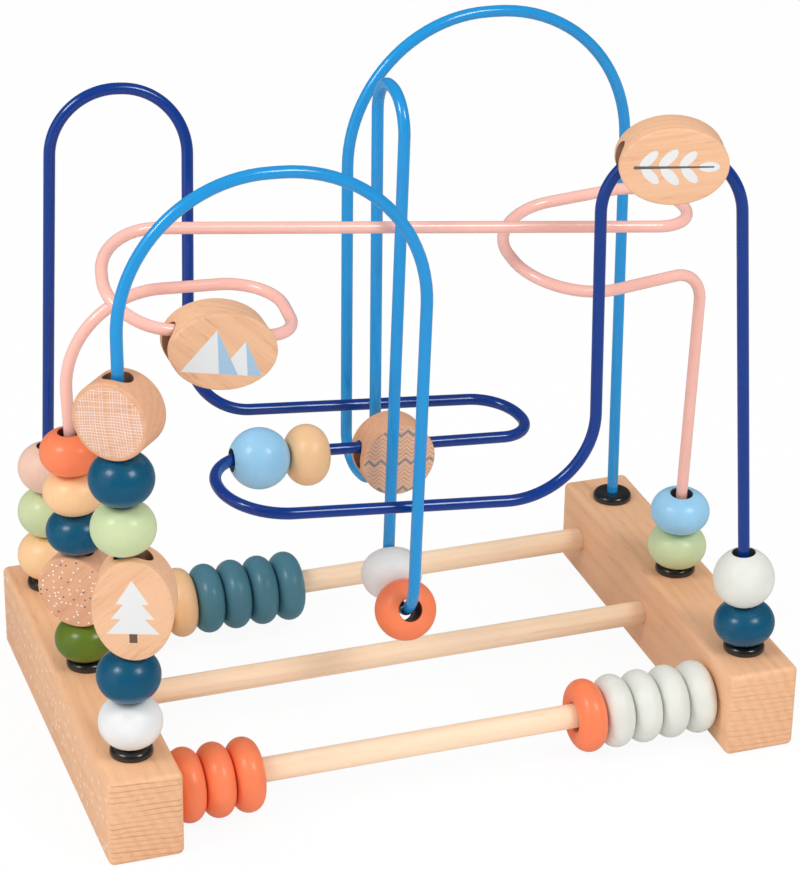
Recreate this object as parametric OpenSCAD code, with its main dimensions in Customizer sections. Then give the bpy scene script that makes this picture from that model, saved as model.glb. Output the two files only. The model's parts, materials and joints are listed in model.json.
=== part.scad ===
// Bead maze: two beams joined by three rods, three bent wires standing on the beams,
// and beads, discs and rings that slide on the wires and rods.
// The origin is on the floor under the middle of the base, with the front at -Y.

/* [Base] */
// Width of the base across both beams
base_w = 288; // [270:1:310]
// Length of a beam from front to back
beam_l = 182; // [165:1:210]
// Width of a beam
beam_w = 30; // [27:1:33]
// Height of a beam
beam_h = 37; // [34:1:42]
// Rounding of the beam edges
beam_round = 2.5; // [1:0.5:4]
// Distance of the front and the back foot from the ends of a beam
foot_inset = 21; // [17:0.5:26]
// Diameter of a rod
rod_d = 10; // [8:0.5:11]
// Depth of a rod end in its beam
rod_tenon = 12; // [8:1:14]

/* [Wires] */
// Diameter of a coated wire
wire_d = 4.8; // [4:0.1:5.2]
// Height of the tallest bend above the beams
wire_rise = 240; // [225:1:260]
// Depth of a wire end in its beam
wire_tenon = 12; // [9:1:13]

/* [Collars] */
// Diameter of a collar
collar_d = 17; // [15:0.5:20]
// Height of a collar above its beam
collar_h = 3.5; // [3:0.1:4.5]
// Rounding of the collar rim
collar_round = 2.2; // [1.8:0.1:2.6]
// Diameter of the collar spigot in its beam
spigot_d = 9; // [8:0.5:10]
// Depth of the collar spigot in its beam
spigot_l = 6; // [4:0.5:8]

/* [Beads] */
// Diameter of a bead
bead_d = 25; // [22:0.5:26]
// Thickness of a flat bead
bead_h = 17; // [15:0.5:19]
// Thickness of a tall bead
tall_bead_h = 20.5; // [18:0.5:21]
// Bore of a bead
bead_bore = 9.2; // [8.8:0.1:10]
// Diameter of the ball bead
ball_d = 25; // [22:0.5:27]

/* [Discs] */
// Diameter of a round disc
disc_d = 31; // [28:0.5:33]
// Thickness of a disc
disc_t = 16; // [14:0.5:18]
// Length of an oval disc
oval_l = 42; // [39:0.5:44]
// Width of an oval disc
oval_w = 31; // [28:0.5:34]
// Long side of the slot through a round disc
disc_slot = 12; // [11:0.5:14]
// Long side of the slot through an oval disc
oval_slot = 15; // [14:0.5:16]
// Short side of the slot through a disc
slot_w = 8.5; // [8.2:0.1:10]
// Chamfer of the round disc edges
disc_chamfer = 0.8; // [0.4:0.1:1.5]

/* [Rings] */
// Diameter of a ring
ring_d = 30; // [26:0.5:33]
// Thickness of a ring
ring_t = 11.7; // [10:0.1:13]
// Bore of a ring
ring_bore = 12; // [11.5:0.5:14]

/* [Clearances] */
// Gap between pieces that stand or lie side by side
stack_gap = 0.3; // [0.2:0.1:0.5]
// Gap between a hanging piece and the wire or rod that carries it
rest_gap = 0.3; // [0.2:0.1:0.5]
// Gap around a glued end in its hole
fit_gap = 0.15; // [0.1:0.05:0.3]

/* [Hidden] */

$fn = 72;

// Overrun of a cutting shape past the face that it cuts
cut = 1;
// Straight that is left between two bends of a wire
bend_gap = 1.5;
// How much the coat thins where a wire is bent
bend_thinning = 0.05;
// How far a straight of wire reaches into the bend beside it
bend_overlap = 0.5;
// How far the sides of an oval lie inside its round ends where they meet
oval_step = 0.02;
// How far the middle of a collar lies below its rim
collar_dish = 0.1;
// How far a piece beside a bend is lifted off the wire that it hangs from
bend_lift = 0.3;
// How far the wire bends aside within the bore of the ball beside a bend
ball_bow = 2.6;
// How much the ball on the loop is lifted off the wire that it hangs from
ball_lift = 1;

// Radius of an oval's ends, as a share of half its length
oval_end_share = 0.57;
// Place of the zigzag disc along its strand, from the left
zigzag_share = 0.55;
// Place of the oval disc along the left loop's front strand, from the right
loop_oval_share = 0.43;
// How far the oval disc in the front stack has slid across the wire, of the play in its slot
front_oval_side_share = 0.65;
// How far the ball on the loop lies to the inside of the bend, of the wire's bow
ball_side_share = 0.55;
// Half of the width of the front dip, which has room for two beads
dip_reach = 20;
// Places of the two beads on the bends of the dip, along the wire from its middle, with minus before it
dip_orange_run = -8.5;
dip_white_run = 16.3;

// Ways that the printed faces look, in degrees to the right of straight ahead
crosshatch_turn = -42;
dotted_turn = -40;
front_oval_turn = -21;

// Degrees in a radian
degrees = 180 / PI;
// Middle of a foot, from the middle of the base
foot_x = base_w / 2 - beam_w / 2;
foot_y = beam_l / 2 - foot_inset;
// Inner face of a beam, from the middle of the base
inner_x = base_w / 2 - beam_w;
// Height of the rods
rod_z = beam_h / 2;
// Height that a bead takes up in a stack, between the edges of its bore
bead_rise = mouth_height(bead_d, bead_h, bead_bore);
tall_rise = mouth_height(bead_d, tall_bead_h, bead_bore);
ball_rise = mouth_height(ball_d, ball_d, bead_bore);

// Colours
beech = "#E8B98A";
pale_wood = "#F3D3A4";
disc_wood = "#EBB68C";
light_blue = "#2896D7";
dark_blue = "#0F3C91";
pink = "#FABEAF";
black = "#161618";
teal = "#0A5F82";
light_green = "#C8DEA5";
olive_green = "#557D2D";
orange = "#FC7D55";
peach = "#F3CDB8";
white = "#F2F3F2";
grey = "#DEDFD7";
sky_blue = "#91C3ED";
slate = "#4B7D8C";

// Middle of the front dip, as a share of the feet's distance from the middle
front_dip_share = -0.465;

// Corners of the wires between their feet, as shares of the feet's places and of the rise
light_blue_shares = [
    [-1, -0.92, 0.965], [-0.055, -0.88, 0.94],
    [-0.069, front_dip_share - dip_reach / foot_y, 0.108],
    [-0.045, front_dip_share + dip_reach / foot_y, 0.09],
    [-0.01, -0.2, 0.965], [-0.01, 0.27, 0.965],
    [0, 0.31, 0.205], [-0.025, 0.71, 0.205],
    [-0.01, 0.8, 1], [0.96, 0.93, 0.975]
];
dark_blue_shares = [
    [-0.925, 1.03, 0.91], [-0.497, 1, 0.895],
    [-0.58, 0.54, 0.363], [0.475, 0.52, 0.311],
    [0.505, 0.06, 0.3], [-0.615, 0.06, 0.345],
    [-0.605, -0.615, 0.335], [0.535, -0.68, 0.285],
    [0.507, -0.7, 0.905], [0.906, -0.9, 0.905]
];
pink_shares = [
    [-1.04, 0.05, 0.67], [-0.39, 0.03, 0.655],
    [-0.41, -0.65, 0.64], [-0.985, -0.63, 0.7],
    [-0.92, 0.04, 0.78], [0.985, -0.2, 0.685],
    [0.96, 0.41, 0.7], [0.37, 0.5, 0.665],
    [0.41, -0.46, 0.615], [0.995, -0.15, 0.6]
];

// How much of the room beside each corner its bend takes, the slight bends at the feet included
foot_bend_share = 0.4;
light_blue_bend_shares = with_feet([0.98, 0.98, 1, 1, 1, 1, 0.95, 0.95, 0.98, 0.98]);
dark_blue_bend_shares = with_feet([1, 1, 0.4, 1, 1, 1, 1, 0.51, 1, 1]);
pink_bend_shares = with_feet([0.97, 0.92, 0.72, 0.97, 0.96, 1, 1, 0.92, 1, 0.37]);

light_blue_path = wire_path(light_blue_shares, [-1, -1], [1, 1]);
dark_blue_path = wire_path(dark_blue_shares, [-1, 1], [1, -1]);
pink_path = wire_path(pink_shares, [-1, 0], [1, 0]);

// Distance of the ball on the loop from the bend beside it
loop_bend_r = bend_radius(dark_blue_path, dark_blue_bend_shares, 7);
loop_ball_back = ball_rise / 2 - sqrt(ball_bow * (2 * loop_bend_r - ball_bow));

// Heights of the pieces in each stack, from the collar up
front_left_stack = [tall_rise, tall_rise, oval_l, tall_rise, tall_rise, disc_d];
middle_left_stack = [bead_rise, disc_d, bead_rise, bead_rise, bead_rise];
back_left_stack = [tall_rise, tall_rise, tall_rise];
middle_right_stack = [bead_rise, bead_rise];
front_right_stack = [bead_rise, ball_rise];

// Unit vector along v
function unit(v) = v / norm(v);

// Part of v that is square to the unit vector n
function square_to(v, n) = v - (v * n) * n;

// Matrix that places a shape with its axes along x, y and z
function axes(x, y, z, origin) = [
    [x.x, y.x, z.x, origin.x],
    [x.y, y.y, z.y, origin.y],
    [x.z, y.z, z.z, origin.z],
    [0, 0, 0, 1]
];

// Matrix that places a piece with its bore along a direction and its face looking another way
function facing(origin, along, look) =
    let (z = unit(along), y = -unit(square_to(look, z)))
    axes(cross(y, z), y, z, origin);

// Level direction that lies an angle to the right of straight ahead
function ahead(angle) = [sin(angle), -cos(angle), 0];

// Height between the edges of a bore through a ring with a round side
function mouth_height(d, t, bore) =
    let (off = max(bore / 2 - (d - t) / 2, 0))
    2 * sqrt(t * t / 4 - off * off);

// Top of the collar at a foot, and the bottom of the wire in it
function foot_high(side) = [side.x * foot_x, side.y * foot_y, beam_h + collar_h];
function foot_low(side) = [side.x * foot_x, side.y * foot_y, beam_h - wire_tenon];

// Corners of a whole wire, from end to end
function wire_path(shares, start, end) = concat(
    [foot_low(start), foot_high(start)],
    [for (s = shares) [s.x * foot_x, s.y * foot_y, beam_h + s.z * wire_rise]],
    [foot_high(end), foot_low(end)]
);
function with_feet(shares) = concat([0, foot_bend_share], shares, [foot_bend_share, 0]);

// Direction of a wire before and after a corner, and the angle that it turns there
function before(path, i) = unit(path[i] - path[i - 1]);
function after(path, i) = unit(path[i + 1] - path[i]);
function turn(path, i) = acos(before(path, i) * after(path, i));

// Room that a bend takes beside its corner, its radius, its ends and its middle
function room(path, shares, i) =
    shares[i] * (min(norm(path[i] - path[i - 1]), norm(path[i + 1] - path[i])) - bend_gap) / 2;
function bend_radius(path, shares, i) = room(path, shares, i) / tan(turn(path, i) / 2);
function bend_start(path, shares, i) = path[i] - before(path, i) * room(path, shares, i);
function bend_end(path, shares, i) = path[i] + after(path, i) * room(path, shares, i);
function bend_inward(path, i) = unit(square_to(after(path, i), before(path, i)));
function bend_centre(path, shares, i) =
    bend_start(path, shares, i) + bend_inward(path, i) * bend_radius(path, shares, i);

// Height of the middle of a piece in a stack
function stack_middle(stack, i) =
    i == 0 ? stack_gap + stack[0] / 2
    : stack_middle(stack, i - 1) + (stack[i - 1] + stack[i]) / 2 + stack_gap;

// Straight down, as far as it is square to a direction
function down_from(along) = unit(square_to([0, 0, -1], unit(along)));

// Ring with a round side, like a bead
module round_ring(d, t, bore) {
    rotate_extrude()
        difference() {
            translate([(d - t) / 2, 0])
                circle(d = t);
            translate([-t, -t])
                square([t + bore / 2, 2 * t]);
        }
}

// Slot through a disc, along the wire
module slot(long, depth) {
    linear_extrude(depth + 2 * cut, center = true) {
        square([long - slot_w, slot_w], center = true);
        for (side = [-1, 1])
            translate([side * (long - slot_w) / 2, 0])
                circle(d = slot_w);
    }
}

// Round disc with its face to the front and its slot along Z
module round_disc() {
    half_t = disc_t / 2;
    half_d = disc_d / 2;
    difference() {
        rotate([90, 0, 0])
            rotate_extrude()
                polygon([
                    [0, -half_t], [half_d - disc_chamfer, -half_t],
                    [half_d, -half_t + disc_chamfer], [half_d, half_t - disc_chamfer],
                    [half_d - disc_chamfer, half_t], [0, half_t]
                ]);
        slot(disc_slot, disc_d);
    }
}

// Oval disc with its face to the front and its slot along its length, which is along Z
module oval_disc() {
    half_l = oval_l / 2;
    half_w = oval_w / 2;
    end_r = oval_end_share * half_l;
    end_z = half_l - end_r;
    side_r = (half_w * half_w + end_z * end_z - end_r * end_r) / (2 * (half_w - end_r));
    side_x = side_r - half_w + oval_step;
    meet_z = end_z * side_r / (side_r - end_r);
    difference() {
        rotate([90, 0, 0])
            linear_extrude(disc_t, center = true) {
                for (end = [-1, 1])
                    translate([0, end * end_z])
                        circle(r = end_r);
                intersection() {
                    translate([side_x, 0])
                        circle(r = side_r);
                    translate([-side_x, 0])
                        circle(r = side_r);
                    square([oval_w, 2 * meet_z], center = true);
                }
            }
        slot(oval_slot, oval_l);
    }
}

// Beam with blind holes for the rods, the wires and the spigots of the collars
module beam(side) {
    middle_x = side * foot_x;
    difference() {
        translate([middle_x, 0, beam_h / 2])
            rounded_bar();
        for (row = [-1, 0, 1]) {
            translate([side * inner_x - side * cut, row * foot_y, rod_z])
                rotate([0, side * 90, 0])
                    cylinder(d = rod_d + 2 * fit_gap, h = rod_tenon + fit_gap + cut);
            translate([middle_x, row * foot_y, beam_h - wire_tenon - fit_gap])
                cylinder(d = wire_d + 2 * fit_gap, h = wire_tenon + fit_gap + cut);
            translate([middle_x, row * foot_y, beam_h - spigot_l - fit_gap])
                cylinder(d = spigot_d + 2 * fit_gap, h = spigot_l + fit_gap + cut);
        }
    }
}

// Bar of a beam's size with its edges rounded
module rounded_bar() {
    intersection() {
        linear_extrude(beam_h, center = true)
            rounded_face(beam_w, beam_l);
        rotate([90, 0, 0])
            linear_extrude(beam_l, center = true)
                rounded_face(beam_w, beam_h);
        rotate([0, 90, 0])
            linear_extrude(beam_w, center = true)
                rounded_face(beam_h, beam_l);
    }
}

// Rectangle with round corners
module rounded_face(w, h) {
    square([w - 2 * beam_round, h], center = true);
    square([w, h - 2 * beam_round], center = true);
    for (x = [-1, 1], y = [-1, 1])
        translate([x * (w / 2 - beam_round), y * (h / 2 - beam_round)])
            circle(r = beam_round);
}

module left_beam() {
    color(beech)
        beam(-1);
}

module right_beam() {
    color(beech)
        beam(1);
}

// Rod that joins the beams at one row of feet
module rod(row) {
    rod_l = 2 * (inner_x + rod_tenon);
    color(pale_wood)
        translate([0, row * foot_y, rod_z])
            rotate([0, 90, 0])
                cylinder(d = rod_d, h = rod_l, center = true);
}

// Straight of a wire between two points
module straight(from, to) {
    along = unit(to - from);
    translate(from)
        rotate([0, acos(along.z), atan2(along.y, along.x)])
            cylinder(d = wire_d, h = norm(to - from));
}

// Bend of a wire at one corner of its path
module bend(path, shares, i) {
    out = -bend_inward(path, i);
    along = before(path, i);
    multmatrix(axes(out, along, cross(out, along), bend_centre(path, shares, i)))
        rotate_extrude(angle = turn(path, i))
            translate([bend_radius(path, shares, i), 0])
                circle(d = wire_d - bend_thinning);
}

// Whole wire: its straights, with a bend at each corner between them
module wire(path, shares) {
    last = len(path) - 2;
    for (i = [0 : last]) {
        lap = after(path, i) * bend_overlap;
        from = i == 0 ? path[0] : bend_end(path, shares, i) - lap;
        to = i == last ? path[last + 1] : bend_start(path, shares, i + 1) + lap;
        straight(from, to);
    }
    for (i = [1 : last])
        bend(path, shares, i);
}

module light_blue_wire() {
    color(light_blue)
        wire(light_blue_path, light_blue_bend_shares);
}

module dark_blue_wire() {
    color(dark_blue)
        wire(dark_blue_path, dark_blue_bend_shares);
}

module pink_wire() {
    color(pink)
        wire(pink_path, pink_bend_shares);
}

// Collar with a round rim, a hole for the wire and a spigot in the beam
module collar(side) {
    rim_x = collar_d / 2 - collar_round;
    color(black)
        translate([side.x * foot_x, side.y * foot_y, beam_h])
            rotate_extrude()
                difference() {
                    union() {
                        intersection() {
                            translate([rim_x, collar_h - collar_round])
                                circle(r = collar_round);
                            square([collar_d, collar_h]);
                        }
                        square([rim_x, collar_h - collar_dish]);
                        translate([0, -spigot_l])
                            square([spigot_d / 2, spigot_l + collar_h / 2]);
                    }
                    translate([0, -spigot_l - cut])
                        square([wire_d / 2 + fit_gap, spigot_l + collar_h + 2 * cut]);
                }
}

// Places its children in a stack on the first or the last leg of a wire
module on_leg(path, from_end, stack, i, look) {
    base = from_end ? path[len(path) - 2] : path[1];
    next = from_end ? path[len(path) - 3] : path[2];
    along = unit(next - base);
    multmatrix(facing(base + along * stack_middle(stack, i), along, look))
        children();
}

// Bead in a stack
module stack_bead(path, from_end, stack, i, thickness, colour) {
    color(colour)
        on_leg(path, from_end, stack, i, ahead(0))
            round_ring(bead_d, thickness, bead_bore);
}

module front_left_bead(i, colour) {
    stack_bead(light_blue_path, false, front_left_stack, i, tall_bead_h, colour);
}

module middle_left_bead(i, colour) {
    stack_bead(pink_path, false, middle_left_stack, i, bead_h, colour);
}

module back_left_bead(i, colour) {
    stack_bead(dark_blue_path, false, back_left_stack, i, tall_bead_h, colour);
}

module middle_right_bead(i, colour) {
    stack_bead(pink_path, true, middle_right_stack, i, bead_h, colour);
}

module front_right_bead(i, colour) {
    stack_bead(dark_blue_path, true, front_right_stack, i, bead_h, colour);
}

module front_right_ball_bead() {
    color(grey)
        on_leg(dark_blue_path, true, front_right_stack, 1, ahead(0))
            round_ring(ball_d, ball_d, bead_bore);
}

module front_left_oval_disc() {
    color(disc_wood)
        on_leg(light_blue_path, false, front_left_stack, 2, ahead(front_oval_turn))
            translate([front_oval_side_share * (oval_slot - wire_d) / 2, 0, 0])
                oval_disc();
}

module crosshatch_disc() {
    color(disc_wood)
        on_leg(light_blue_path, false, front_left_stack, 5, ahead(crosshatch_turn))
            round_disc();
}

module dotted_disc() {
    color(disc_wood)
        on_leg(pink_path, false, middle_left_stack, 1, ahead(dotted_turn))
            round_disc();
}

// Places its children on the straight that leads to a corner, hanging from the wire
module on_strand(path, shares, i, back, opening, lift) {
    along = before(path, i);
    from = bend_start(path, shares, i);
    drop = (opening - wire_d) / 2 - rest_gap - lift;
    multmatrix(facing(from - along * back + down_from(along) * drop, along, ahead(0)))
        children();
}

// Ball at the left end of the dark blue wire's middle strand, with one end of its bore in the bend
module loop_sky_bead() {
    color(sky_blue)
        on_strand(dark_blue_path, dark_blue_bend_shares, 7, loop_ball_back, bead_bore, ball_lift)
            translate([0, -ball_side_share * ball_bow, 0])
                round_ring(ball_d, ball_d, bead_bore);
}

// Bead beside the ball
module loop_natural_bead() {
    back = loop_ball_back + (ball_rise + bead_rise) / 2 + stack_gap;
    color(pale_wood)
        on_strand(dark_blue_path, dark_blue_bend_shares, 7, back, bead_bore, bend_lift)
            round_ring(bead_d, bead_h, bead_bore);
}

// Length of the straight that leads to a corner
function strand_length(path, shares, i) =
    norm(bend_start(path, shares, i) - bend_end(path, shares, i - 1));

module zigzag_disc() {
    back = zigzag_share * strand_length(dark_blue_path, dark_blue_bend_shares, 7);
    color(disc_wood)
        on_strand(dark_blue_path, dark_blue_bend_shares, 7, back, disc_slot, 0)
            round_disc();
}

module loop_oval_disc() {
    back = (1 - loop_oval_share) * strand_length(pink_path, pink_bend_shares, 5);
    color(disc_wood)
        on_strand(pink_path, pink_bend_shares, 5, back, oval_slot, bend_lift)
            oval_disc();
}

// Bead on the low bend of the light blue wire, resting with the edges of its bore on the wire
module dip_bead(i, run, thickness, colour) {
    radius = bend_radius(light_blue_path, light_blue_bend_shares, i);
    angle = (run < 0 ? turn(light_blue_path, i) : 0) + run / radius * degrees;
    inner_r = radius - wire_d / 2 - rest_gap;
    rise = mouth_height(bead_d, thickness, bead_bore);
    middle_r = bead_bore / 2 + sqrt(inner_r * inner_r - rise * rise / 4);
    out = -bend_inward(light_blue_path, i);
    along = before(light_blue_path, i);
    ray = out * cos(angle) + along * sin(angle);
    heading = along * cos(angle) - out * sin(angle);
    centre = bend_centre(light_blue_path, light_blue_bend_shares, i);
    color(colour)
        multmatrix(facing(centre + ray * middle_r, heading, ray))
            round_ring(bead_d, thickness, bead_bore);
}

// Oval disc that hangs from the crown of the dark blue wire's right arch
module arch_oval_disc() {
    rise = dark_blue_path[10];
    fall = dark_blue_path[11];
    along = unit(fall - rise);
    drop = (oval_slot - wire_d) / 2 - rest_gap - bend_lift;
    crown = (rise + fall) / 2 + down_from(along) * drop;
    color(disc_wood)
        multmatrix(facing(crown, along, cross(along, [0, 0, 1])))
            oval_disc();
}

// Ring on a rod, counted from one beam
module rod_ring(row, side, i, colour) {
    middle_x = side * (inner_x - stack_gap - ring_t / 2 - i * (ring_t + stack_gap));
    drop = (ring_bore - rod_d) / 2 - rest_gap;
    color(colour)
        translate([middle_x, row * foot_y, rod_z - drop])
            rotate([0, 90, 0])
                round_ring(ring_d, ring_t, ring_bore);
}

left_beam();
right_beam();
rod(-1);  // front_rod
rod(0);  // middle_rod
rod(1);  // back_rod
light_blue_wire();
dark_blue_wire();
pink_wire();
collar([-1, -1]);  // front_left_collar
collar([-1, 0]);  // middle_left_collar
collar([-1, 1]);  // back_left_collar
collar([1, -1]);  // front_right_collar
collar([1, 0]);  // middle_right_collar
collar([1, 1]);  // back_right_collar
front_left_bead(0, white);  // front_left_white_bead
front_left_bead(1, teal);  // front_left_lower_teal_bead
front_left_oval_disc();
front_left_bead(3, light_green);  // front_left_green_bead
front_left_bead(4, teal);  // front_left_upper_teal_bead
crosshatch_disc();
middle_left_bead(0, olive_green);  // middle_left_olive_bead
dotted_disc();
middle_left_bead(2, teal);  // middle_left_teal_bead
middle_left_bead(3, pale_wood);  // middle_left_natural_bead
middle_left_bead(4, orange);  // middle_left_orange_bead
back_left_bead(0, pale_wood);  // back_left_natural_bead
back_left_bead(1, light_green);  // back_left_green_bead
back_left_bead(2, peach);  // back_left_peach_bead
middle_right_bead(0, light_green);  // middle_right_green_bead
middle_right_bead(1, sky_blue);  // middle_right_sky_bead
front_right_bead(0, teal);  // front_right_teal_bead
front_right_ball_bead();
loop_sky_bead();
loop_natural_bead();
zigzag_disc();
dip_bead(4, dip_orange_run, bead_h, orange);  // dip_orange_bead
dip_bead(5, dip_white_run, tall_bead_h, white);  // dip_white_bead
loop_oval_disc();
arch_oval_disc();
rod_ring(-1, -1, 0, orange);  // orange_ring_1
rod_ring(-1, -1, 1, orange);  // orange_ring_2
rod_ring(-1, -1, 2, orange);  // orange_ring_3
rod_ring(-1, 1, 4, orange);  // orange_ring_4
rod_ring(-1, 1, 0, grey);  // grey_ring_1
rod_ring(-1, 1, 1, grey);  // grey_ring_2
rod_ring(-1, 1, 2, grey);  // grey_ring_3
rod_ring(-1, 1, 3, grey);  // grey_ring_4
rod_ring(1, -1, 4, slate);  // slate_ring_1
rod_ring(1, -1, 5, slate);  // slate_ring_2
rod_ring(1, -1, 6, slate);  // slate_ring_3
rod_ring(1, -1, 7, slate);  // slate_ring_4
rod_ring(1, -1, 0, pale_wood);  // natural_ring_1
rod_ring(1, -1, 1, pale_wood);  // natural_ring_2
rod_ring(1, -1, 2, pale_wood);  // natural_ring_3
rod_ring(1, -1, 3, pale_wood);  // natural_ring_4
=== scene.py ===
import json
import math

import bmesh
import bpy
from mathutils import Matrix, Vector


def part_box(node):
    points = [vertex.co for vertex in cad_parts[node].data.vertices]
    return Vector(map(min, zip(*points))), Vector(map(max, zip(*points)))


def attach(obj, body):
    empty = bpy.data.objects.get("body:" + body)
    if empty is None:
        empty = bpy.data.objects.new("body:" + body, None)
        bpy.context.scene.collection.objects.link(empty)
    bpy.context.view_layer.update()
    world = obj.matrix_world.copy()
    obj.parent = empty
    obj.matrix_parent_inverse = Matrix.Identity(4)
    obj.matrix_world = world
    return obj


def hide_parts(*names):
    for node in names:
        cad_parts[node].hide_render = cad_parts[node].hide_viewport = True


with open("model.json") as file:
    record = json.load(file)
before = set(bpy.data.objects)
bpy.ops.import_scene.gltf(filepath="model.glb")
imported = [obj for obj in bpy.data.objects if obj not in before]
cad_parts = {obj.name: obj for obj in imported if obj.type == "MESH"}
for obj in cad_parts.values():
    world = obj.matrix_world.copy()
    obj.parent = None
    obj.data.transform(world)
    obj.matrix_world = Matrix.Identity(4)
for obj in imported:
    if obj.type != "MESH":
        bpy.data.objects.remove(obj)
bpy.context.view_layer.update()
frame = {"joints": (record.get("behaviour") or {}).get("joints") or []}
print("frame loaded")

mm = 0.001
close = 0.01 * mm
merge = 0.001 * mm
up = Vector((0, 0, 1))
joints = {joint["child"]: joint for joint in frame["joints"]}


# a socket in a node tree, with its sums written as Python
class Flow:
    def __init__(self, tree, socket=None):
        self.tree = tree
        self.socket = socket

    # any node, by its type, its settings and its sockets
    def add(self, kind, settings=None, sockets=None, out=0):
        node = self.tree.nodes.new(kind)
        for key, value in (settings or {}).items():
            setattr(node, key, value)
        for key, value in (sockets or {}).items():
            if isinstance(value, Flow):
                self.tree.links.new(value.socket, node.inputs[key])
            else:
                node.inputs[key].default_value = value
        return Flow(self.tree, node.outputs[out] if len(node.outputs) else None)

    # another output of the same node
    def other(self, out):
        return Flow(self.tree, self.socket.node.outputs[out])

    def maths(self, operation, *values):
        return self.add("ShaderNodeMath", {"operation": operation}, dict(enumerate(values)))

    def __add__(self, other):
        return self.maths("ADD", self, other)

    def __radd__(self, other):
        return self.maths("ADD", other, self)

    def __sub__(self, other):
        return self.maths("SUBTRACT", self, other)

    def __rsub__(self, other):
        return self.maths("SUBTRACT", other, self)

    def __mul__(self, other):
        return self.maths("MULTIPLY", self, other)

    def __rmul__(self, other):
        return self.maths("MULTIPLY", other, self)

    def __truediv__(self, other):
        return self.maths("DIVIDE", self, other)

    def __rtruediv__(self, other):
        return self.maths("DIVIDE", other, self)

    def __lt__(self, other):
        return self.maths("LESS_THAN", self, other)

    def __gt__(self, other):
        return self.maths("GREATER_THAN", self, other)

    def size(self):
        return self.maths("ABSOLUTE", self)

    def floor(self):
        return self.maths("FLOOR", self)

    # distance from the middle of the step that the value is in
    def fromMiddle(self):
        return (self.maths("FRACT", self) - 0.5).size()

    # long side of a square corner whose short sides are the two values
    def reach(self, other):
        return self.maths("SQRT", self * self + other * other)

    # 0 to 1 as the value goes from low to high
    def rise(self, low, high):
        return self.add("ShaderNodeMapRange", {"interpolation_type": "SMOOTHSTEP"},
                        {"Value": self, "From Min": low, "From Max": high})

    def parts(self):
        first = self.add("ShaderNodeSeparateXYZ", None, {0: self})
        return [first.other(out) for out in range(3)]

    def placed(self, place=(0, 0, 0), turn=(0, 0, 0), scale=(1, 1, 1)):
        return self.add("ShaderNodeMapping", None,
                        {"Vector": self, "Location": place, "Rotation": turn, "Scale": scale})

    def noise(self, scale, detail=3.0, roughness=0.5):
        return self.add("ShaderNodeTexNoise", None,
                        {"Vector": self, "Scale": scale, "Detail": detail, "Roughness": roughness})

    # scattered cells: the distance from the middle of each, and its own colour
    def cells(self, dimensions, scale):
        near = self.add("ShaderNodeTexVoronoi", {"voronoi_dimensions": dimensions},
                        {"Vector": self, "Scale": scale})
        return near, near.other(1)

    # colour a where the mask is 0 and b where it is 1
    def mix(self, a, b):
        return self.add("ShaderNodeMix", {"data_type": "RGBA"}, {0: self, 6: a, 7: b}, 2)


# a colour from 0 to 255 as the linear one that a shader takes
def linear(colour):
    def part(share):
        return share / 12.92 if share <= 0.04045 else ((share + 0.055) / 1.055) ** 2.4

    return tuple(part(c / 255) for c in colour) + (1.0,)


# an empty material and its tree
def newMaterial(name):
    material = bpy.data.materials.new(name)
    material.use_nodes = True
    material.node_tree.nodes.clear()
    return material, Flow(material.node_tree)


def finishMaterial(tree, shader):
    tree.add("ShaderNodeOutputMaterial", None, {"Surface": shader})


def finishPrincipled(tree, sockets):
    finishMaterial(tree, tree.add("ShaderNodeBsdfPrincipled", None, sockets))


def bumped(tree, height, strength, distance):
    return tree.add("ShaderNodeBump", None,
                    {"Strength": strength, "Distance": distance, "Height": height})


def objectPlace(tree):
    return tree.add("ShaderNodeTexCoord", None, None, "Object")


# the place on a piece before it was put on its wire, kept by the mesh
def ownPlace(tree):
    return tree.add("ShaderNodeAttribute", {"attribute_name": "ownPlace"}, None, "Vector")


# one mesh object from a bmesh, in place, riding on a body in the stead of its node
def putPiece(bm, name, node, body, material, place=None, smooth=40):
    mesh = bpy.data.meshes.new(name)
    bm.to_mesh(mesh)
    bm.free()
    own = mesh.attributes.new("ownPlace", "FLOAT_VECTOR", "POINT")
    coordinates = [0.0] * (3 * len(mesh.vertices))
    mesh.vertices.foreach_get("co", coordinates)
    own.data.foreach_set("vector", coordinates)
    if place is not None:
        mesh.transform(place)
    mesh.shade_smooth()
    mesh.set_sharp_from_angle(angle=math.radians(smooth))
    mesh.materials.append(material)
    piece = bpy.data.objects.new(name, mesh)
    bpy.context.scene.collection.objects.link(piece)
    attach(piece, body)
    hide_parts(node)


# takes cutters out of a bmesh
def carve(bm, cutters):
    def loose(shape):
        mesh = bpy.data.meshes.new("carving")
        shape.to_mesh(mesh)
        shape.free()
        thing = bpy.data.objects.new("carving", mesh)
        bpy.context.scene.collection.objects.link(thing)
        return thing

    blank = loose(bm)
    tools = [loose(cutter) for cutter in cutters]
    for tool in tools:
        cut = blank.modifiers.new("cut", "BOOLEAN")
        cut.operation = "DIFFERENCE"
        cut.solver = "EXACT"
        cut.object = tool
    bpy.context.view_layer.update()
    done = blank.evaluated_get(bpy.context.evaluated_depsgraph_get()).to_mesh()
    carved = bmesh.new()
    carved.from_mesh(done)
    for thing in [blank] + tools:
        mesh = thing.data
        bpy.data.objects.remove(thing)
        bpy.data.meshes.remove(mesh)
    return carved


def only(kind, geom):
    return [part for part in geom if isinstance(part, kind)]


def move(bm, step):
    bmesh.ops.translate(bm, vec=step, verts=bm.verts)


def quarterTurn(bm, axis):
    bmesh.ops.rotate(bm, cent=(0, 0, 0), matrix=Matrix.Rotation(math.pi / 2, 3, axis),
                     verts=bm.verts)


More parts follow.
